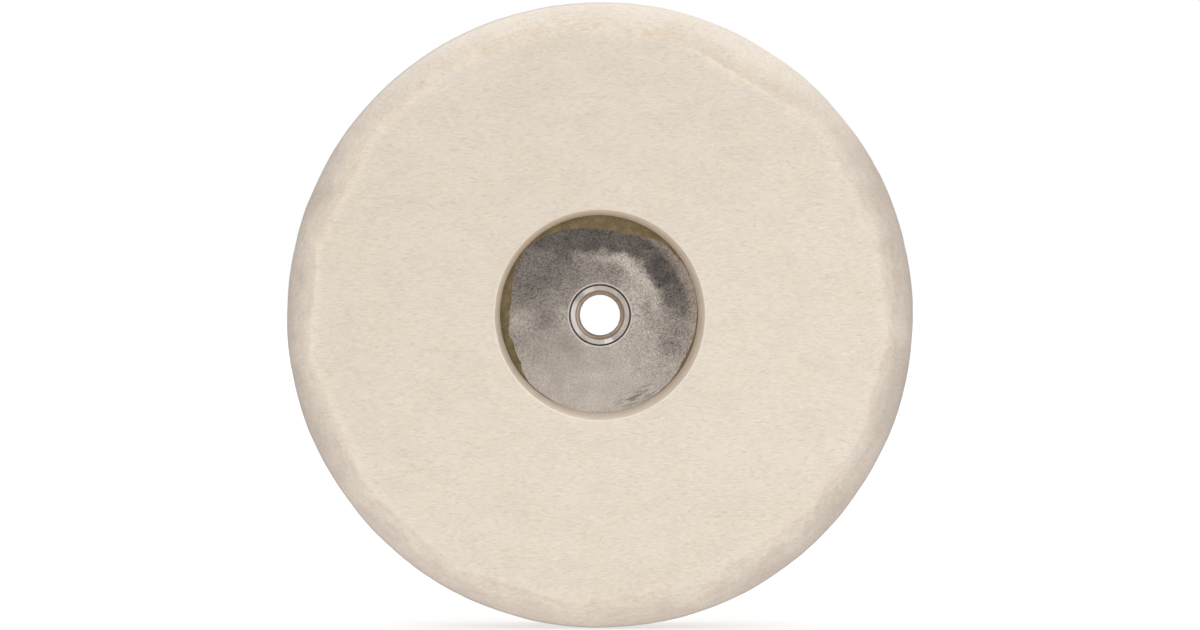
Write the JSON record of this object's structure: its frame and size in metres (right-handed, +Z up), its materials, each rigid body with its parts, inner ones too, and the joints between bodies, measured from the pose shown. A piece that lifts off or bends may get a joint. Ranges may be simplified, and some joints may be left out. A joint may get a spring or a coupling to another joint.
{
  "type": "felt polishing wheel",
  "caption": "Thick wool felt wheel with a round centre recess, glued to a dished steel plate that carries a threaded hexagon nut.",
  "frame": {"origin": "on the spin axis, in the rear face of the nut, which seats on the spindle's shoulder", "axes": "+Y along the spin axis towards the machine, -Y out of the working face, +Z up"},
  "size_m": [0.18, 0.0473, 0.18],
  "materials": {
    "felt": "dense pressed wool felt, matt and slightly fuzzy",
    "glue": "dried contact adhesive, satin, translucent at thin edges",
    "plate_steel": "dull, finely mottled pressed steel",
    "nut_steel": "bright turned steel"
  },
  "bodies": {
    "root": {"felt_body": "felt", "adhesive": "glue", "dished_plate": "plate_steel", "threaded_nut": "nut_steel"}
  },
  "joints": []
}
